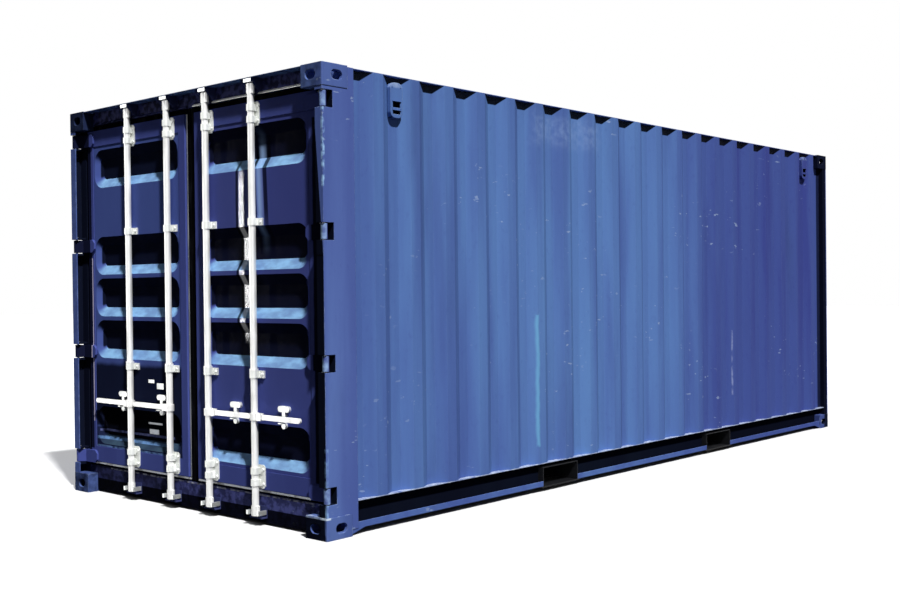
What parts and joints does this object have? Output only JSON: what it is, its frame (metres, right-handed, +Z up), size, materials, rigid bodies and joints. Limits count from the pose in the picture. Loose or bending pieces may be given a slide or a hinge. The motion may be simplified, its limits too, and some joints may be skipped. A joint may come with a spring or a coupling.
{
  "type": "shipping container",
  "caption": "Steel shipping container with corrugated walls, double doors that swing right round, lock rods with lift handles, corner castings and fork pockets.",
  "frame": {"origin": "centre of the footprint on the ground plane, under the bottom corner castings", "axes": "+X to the right when facing the doors, +Y from the door end to the blind end, +Z up"},
  "size_m": [2.438, 6.058, 2.438],
  "materials": {
    "wall_paint": "satin blue paint",
    "frame_paint": "satin blue paint",
    "casting_paint": "worn blue paint over cast steel",
    "door_paint": "glossy dark blue paint",
    "underframe_paint": "dull black underseal",
    "galvanised_steel": "dull zinc coating",
    "rod_steel": "bright zinc coating",
    "pin_steel": "dull steel",
    "seal_rubber": "black rubber",
    "floor_timber": "oiled plywood"
  },
  "bodies": {
    "container": {"corner_castings_top": "casting_paint", "corner_castings_bottom": "casting_paint", "door_post_left": "frame_paint", "door_post_right": "frame_paint", "front_post_left": "frame_paint", "front_post_right": "frame_paint", "door_header": "frame_paint", "door_sill": "frame_paint", "front_top_rail": "frame_paint", "front_bottom_rail": "frame_paint", "top_rail_left": "frame_paint", "top_rail_right": "frame_paint", "bottom_rail_left": "frame_paint", "bottom_rail_right": "frame_paint", "side_wall_left": "wall_paint", "side_wall_right": "wall_paint", "front_wall": "wall_paint", "roof_panel": "wall_paint", "ventilators": "wall_paint", "floor_boards": "floor_timber", "cross_members": "underframe_paint", "fork_pocket_sides": "underframe_paint", "fork_pocket_plates": "underframe_paint", "cam_keepers": "galvanised_steel", "hinge_pins": "pin_steel"},
    "right_door": {"door_frame_right": "door_paint", "door_panel_right": "door_paint", "door_gasket_right": "seal_rubber", "door_hinges_right": "door_paint", "rod_brackets_right": "galvanised_steel", "handle_hasps_right": "galvanised_steel"},
    "right_inner_rod": {"lock_rod_inner_right": "rod_steel"},
    "right_inner_handle": {"handle_inner_right": "rod_steel"},
    "right_outer_rod": {"lock_rod_outer_right": "rod_steel"},
    "right_outer_handle": {"handle_outer_right": "rod_steel"},
    "left_door": {"door_frame_left": "door_paint", "door_panel_left": "door_paint", "door_gasket_left": "seal_rubber", "door_hinges_left": "door_paint", "rod_brackets_left": "galvanised_steel", "handle_hasps_left": "galvanised_steel"},
    "left_inner_rod": {"lock_rod_inner_left": "rod_steel"},
    "left_inner_handle": {"handle_inner_left": "rod_steel"},
    "left_outer_rod": {"lock_rod_outer_left": "rod_steel"},
    "left_outer_handle": {"handle_outer_left": "rod_steel"}
  },
  "joints": [
    {"name": "right_door_swing", "type": "hinge", "parent": "container", "child": "right_door", "pos_m": [1.196, -3.004, 1.2], "axis": [0, 0, 1], "range_deg": [0, 265]},
    {"name": "right_inner_rod_turn", "type": "hinge", "parent": "right_door", "child": "right_inner_rod", "pos_m": [0.19, -2.996, 1.2], "axis": [0, 0, 1], "range_deg": [-110, 0]},
    {"name": "right_inner_handle_lift", "type": "hinge", "parent": "right_inner_rod", "child": "right_inner_handle", "pos_m": [0.235, -2.996, 0.595], "axis": [0, -1, 0], "range_deg": [0, 25]},
    {"name": "right_outer_rod_turn", "type": "hinge", "parent": "right_door", "child": "right_outer_rod", "pos_m": [0.605, -2.996, 1.2], "axis": [0, 0, 1], "range_deg": [-110, 0]},
    {"name": "right_outer_handle_lift", "type": "hinge", "parent": "right_outer_rod", "child": "right_outer_handle", "pos_m": [0.65, -2.996, 0.595], "axis": [0, -1, 0], "range_deg": [0, 25]},
    {"name": "left_door_swing", "type": "hinge", "parent": "container", "child": "left_door", "pos_m": [-1.196, -3.004, 1.2], "axis": [0, 0, -1], "range_deg": [0, 265]},
    {"name": "left_inner_rod_turn", "type": "hinge", "parent": "left_door", "child": "left_inner_rod", "pos_m": [-0.19, -2.996, 1.2], "axis": [0, 0, -1], "range_deg": [-110, 0]},
    {"name": "left_inner_handle_lift", "type": "hinge", "parent": "left_inner_rod", "child": "left_inner_handle", "pos_m": [-0.235, -2.996, 0.595], "axis": [0, 1, 0], "range_deg": [0, 25]},
    {"name": "left_outer_rod_turn", "type": "hinge", "parent": "left_door", "child": "left_outer_rod", "pos_m": [-0.605, -2.996, 1.2], "axis": [0, 0, -1], "range_deg": [-110, 0]},
    {"name": "left_outer_handle_lift", "type": "hinge", "parent": "left_outer_rod", "child": "left_outer_handle", "pos_m": [-0.65, -2.996, 0.595], "axis": [0, 1, 0], "range_deg": [0, 25]}
  ]
}
